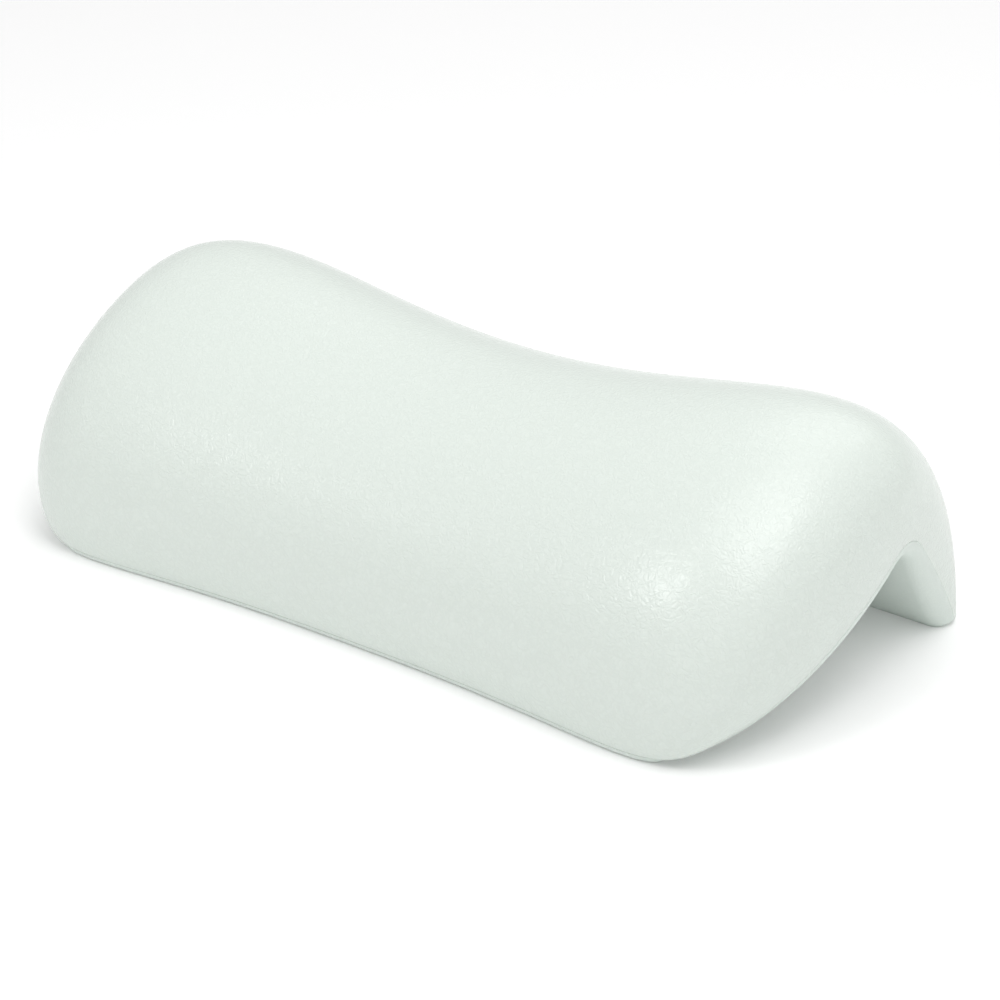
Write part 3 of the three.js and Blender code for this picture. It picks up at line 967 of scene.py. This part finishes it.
def cup_profile():
    stud = [
        (0, STUD_TIP),
        (STUD_RADIUS - STUD_CHAMFER, STUD_TIP),
        (STUD_RADIUS, STUD_TIP + STUD_CHAMFER),
        (STUD_RADIUS, COLLAR_SEAT),
        (COLLAR_RADIUS, COLLAR_SEAT),
        (COLLAR_RADIUS, COLLAR_SHOULDER),
    ]
    stud = rounded(stud, CORNER_EASE)[:-1]
    rim = rounded([(CUP_RADIUS, CUP_LIP), (CUP_RADIUS, CUP_STAND), (CUP_INNER, CUP_STAND)], LIP_EASE)
    return stud + curve_points(BELL, BELL_STEPS) + rim[1:-1] + curve_points(HOLLOW, BELL_STEPS)


print("cup profile has", len(cup_profile()), "points")

# %% [markdown]
# The bushes are hard white plastic and the cups soft clear vinyl. Both come from polished moulds, yet
# neither is perfect: a very fine noise stands for the mould's finish, and a broader one for handling
# marks. One group gives both, with its own scale in each material. The vinyl keeps a plain
# transmission, because light goes through it evenly.

# %% Plastic materials
BROAD_PITCH = 0.06


def make_mould_group():
    tree, given, out = new_group(
        "Mould finish",
        {"Vector": "NodeSocketVector", "Fine per metre": "NodeSocketFloat"},
        ["Fine", "Broad"],
    )
    place = given.outputs["Vector"]
    pitch = Field(tree, given.outputs["Fine per metre"])
    fine = add_node(tree, "ShaderNodeTexNoise", {"Vector": place, "Scale": pitch, "Detail": 3.0})
    broad = add_node(
        tree, "ShaderNodeTexNoise", {"Vector": place, "Scale": pitch * BROAD_PITCH, "Detail": 4.0}
    )
    tree.links.new(fine.outputs["Fac"], out.inputs["Fine"])
    tree.links.new(broad.outputs["Fac"], out.inputs["Broad"])
    return tree


def make_plastic(name, light, dark, fine, relief, smooth, rough, **plain):
    material, shader = new_finish(name, light, smooth, **plain)
    tree = material.node_tree
    place = add_node(tree, "ShaderNodeTexCoord").outputs["Object"]
    mould = add_node(tree, "ShaderNodeGroup", node_tree=mould_group)
    tree.links.new(place, mould.inputs["Vector"])
    mould.inputs["Fine per metre"].default_value = fine
    tree.links.new(color_mix(tree, mould.outputs["Broad"], light, dark), shader.inputs["Base Color"])
    tree.links.new(value_range(tree, mould.outputs["Broad"], smooth, rough), shader.inputs["Roughness"])
    add_bump(tree, shader, mould.outputs["Fine"], relief)
    return material


mould_group = make_mould_group()
bush_plastic = make_plastic(
    "bush_plastic",
    light=(0.87, 0.88, 0.86),
    dark=(0.82, 0.83, 0.80),
    fine=2500.0,
    relief=0.02 * MM,
    smooth=0.32,
    rough=0.48,
)
plate_plastic = make_plastic(
    "plate_plastic",
    light=(0.27, 0.29, 0.30),
    dark=(0.22, 0.24, 0.25),
    fine=1800.0,
    relief=0.05 * MM,
    smooth=0.5,
    rough=0.66,
)
cup_vinyl = make_plastic(
    "cup_vinyl",
    light=(0.80, 0.90, 0.90),
    dark=(0.74, 0.86, 0.86),
    fine=1500.0,
    relief=0.01 * MM,
    smooth=0.12,
    rough=0.24,
    IOR=1.53,
    Transmission_Weight=0.7,
)
print("plastic materials:", bush_plastic.name, plate_plastic.name, cup_vinyl.name)

# %% [markdown]
# The bushes and the cups repeat, so a Geometry Nodes tree sets them. Each seat is a point that carries
# its turn as an attribute, and the tree puts a copy of the turned piece on every point.

# %% Tree that fills the seats


def make_seat_tree():
    tree = bpy.data.node_groups.new("On the seats", "GeometryNodeTree")
    tree.interface.new_socket("Geometry", in_out="OUTPUT", socket_type="NodeSocketGeometry")
    tree.interface.new_socket("Seats", in_out="INPUT", socket_type="NodeSocketGeometry")
    tree.interface.new_socket("Piece", in_out="INPUT", socket_type="NodeSocketObject")
    tree.interface.new_socket("Finish", in_out="INPUT", socket_type="NodeSocketMaterial")
    given = add_node(tree, "NodeGroupInput").outputs
    piece = add_node(tree, "GeometryNodeObjectInfo", {"Object": given["Piece"], "As Instance": True})
    turn = add_node(tree, "GeometryNodeInputNamedAttribute", {"Name": "turn"}, data_type="FLOAT_VECTOR")
    rotation = add_node(tree, "FunctionNodeEulerToRotation", {"Euler": turn.outputs["Attribute"]})
    copies = add_node(
        tree,
        "GeometryNodeInstanceOnPoints",
        {
            "Points": given["Seats"],
            "Instance": piece.outputs["Geometry"],
            "Rotation": rotation.outputs["Rotation"],
        },
    )
    real = add_node(tree, "GeometryNodeRealizeInstances", {"Geometry": copies.outputs["Instances"]})
    finish = add_node(
        tree,
        "GeometryNodeSetMaterial",
        {"Geometry": real.outputs["Geometry"], "Material": given["Finish"]},
    )
    out = add_node(tree, "NodeGroupOutput")
    tree.links.new(finish.outputs["Geometry"], out.inputs["Geometry"])
    return tree


def seat_points(name, chosen):
    mesh = bpy.data.meshes.new(name)
    mesh.from_pydata([seat.place for seat in chosen], [], [])
    turns = mesh.attributes.new("turn", "FLOAT_VECTOR", "POINT")
    for entry, seat in zip(turns.data, chosen):
        axes = Matrix((seat.along, seat.across, seat.out)).transposed()
        entry.vector = axes.to_euler()
    return new_object(name, mesh)


def set_on_seats(name, chosen, piece, finish):
    made = seat_points(name, chosen)
    run_tree(made, seat_tree, {"Piece": piece, "Finish": finish})
    settle(made)
    describe(made)
    return made


seat_tree = make_seat_tree()
print("seat tree has", len(seat_tree.nodes), "nodes")

# %% [markdown]
# A cup is let go by lifting its edge, so its rim carries a small pull tab. The tab is a flat strip with
# two rounded corners. A Boolean joins it to the turned cup, and the result is the pattern for all four.

# %% Pattern of a cup with its tab
TAB_LENGTH = 5 * MM
TAB_WIDTH = 7 * MM
TAB_CORNER = 2.4 * MM
TAB_STEPS = 6


def tab_outline():
    """A strip with rounded outer corners that starts inside the rim of the cup."""
    root = CUP_RADIUS - CUP_RIM_WIDTH / 2
    end = CUP_RADIUS + TAB_LENGTH
    half = TAB_WIDTH / 2
    return rounded([(root, -half), (end, -half), (end, half), (root, half)], TAB_CORNER, TAB_STEPS)


def pull_tab():
    mesh = bmesh.new()
    outline = [mesh.verts.new((x, y, CUP_LIP)) for x, y in tab_outline()]
    face = mesh.faces.new(outline)
    raised = bmesh.ops.extrude_face_region(mesh, geom=[face])
    top = [v for v in raised["geom"] if isinstance(v, bmesh.types.BMVert)]
    bmesh.ops.translate(mesh, verts=top, vec=(0, 0, CUP_STAND - CUP_LIP))
    bmesh.ops.recalc_face_normals(mesh, faces=mesh.faces)
    return mesh_object("pull_tab", mesh, cup_vinyl)


def cup_pattern():
    cup = mesh_object("cup_pattern", turned(cup_profile()), cup_vinyl)
    tab = pull_tab()
    join = cup.modifiers.new("tab", "BOOLEAN")
    join.operation = "UNION"
    join.solver = "EXACT"
    join.object = tab
    settle(cup)
    bpy.data.objects.remove(tab)
    return cup


pattern = cup_pattern()
print("a cup has", len(pattern.data.polygons), "faces")

# %% [markdown]
# Copies that belong to one body become one mesh: the four bushes stay in the pillow, and each cup rides
# on its own body, because it can be pulled out.

# %% Bushes and cups on their seats
bush_pattern = mesh_object("bush_pattern", turned(rounded(BUSH_PROFILE, CORNER_EASE)), bush_plastic)
bushes = set_on_seats("cup_bushes", list(seats.values()), bush_pattern, bush_plastic)
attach(bushes, "pillow")
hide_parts(*(f"{row}_bush_{hand}" for row, hand in seats))
for (row, hand), seat in seats.items():
    cup = set_on_seats(f"suction_cup_{row}_{hand}", [seat], pattern, cup_vinyl)
    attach(cup, f"{hand}_{row}_cup")
    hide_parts(f"{row}_cup_{hand}")
for spare in (bush_pattern, pattern):
    bpy.data.objects.remove(spare)

# %% [markdown]
# The stiffening plate in the foam has the right shape in the frame already, so the solid stays and only
# takes its finish.

# %% Stiffening plate
plate = frame["nodes"]["arch_plate"]
plate.data.materials.clear()
plate.data.materials.append(plate_plastic)
print("plate finish:", plate.data.materials[0].name)

# %% [markdown]
# The picture is a bright catalogue shot on a white ground. The floor is white and rough and glows a
# little, so it comes out as white as that ground, and a white world lights the shadow side. The shape is
# then told by small steps of grey.

# %% Floor and room
FLOOR_SIZE = 30.0
FLOOR_GLOW = 0.08
ROOM_STRENGTH = 0.47


def add_floor():
    mesh = bmesh.new()
    bmesh.ops.create_grid(mesh, x_segments=1, y_segments=1, size=FLOOR_SIZE / 2)
    material, shader = new_finish("white_ground", (0.95, 0.95, 0.95), 0.95, Emission_Strength=FLOOR_GLOW)
    floor = mesh_object("floor", mesh, material)
    return floor


def set_world(strength):
    world = bpy.data.worlds.new("white_room")
    world.use_nodes = True
    background = world.node_tree.nodes["Background"]
    background.inputs["Color"].default_value = (1, 1, 1, 1)
    background.inputs["Strength"].default_value = strength
    scene.world = world


floor = add_floor()
set_world(ROOM_STRENGTH)
print(floor.name, "of", FLOOR_SIZE, "m; world:", scene.world.name)

# %% [markdown]
# Two broad discs of light from above and behind give the even brightness. Two smaller ones, in front and
# to the right, draw the two highlights on the right lobe, where the grain shows best. A smaller disc has
# a smaller reflection, so their sizes were chosen by those highlights.

# %% Lights
LIGHT_AIM = Vector((0, 0, 0.04))


def add_soft_box(name, toward, distance, width, power):
    """An area light that looks at the pillow from a direction."""
    data = bpy.data.lights.new(name, "AREA")
    data.shape = "DISK"
    data.size = width
    data.energy = power
    light = bpy.data.objects.new(name, data)
    direction = Vector(toward).normalized()
    light.location = LIGHT_AIM + direction * distance
    light.rotation_euler = (-direction).to_track_quat("-Z", "Y").to_euler()
    scene.collection.objects.link(light)
    return light


add_soft_box("overhead", toward=(0.1, 0.0, 1.0), distance=4.0, width=3.0, power=46.5)
add_soft_box("back_fill", toward=(-0.1, 0.8, 0.9), distance=4.0, width=3.0, power=21.0)
add_soft_box("low_box", toward=(-0.24, -0.56, 0.79), distance=1.4, width=0.4, power=2.8)
add_soft_box("high_box", toward=(0.46, -0.12, 0.87), distance=1.4, width=0.9, power=4.2)
scene.view_settings.view_transform = "Standard"
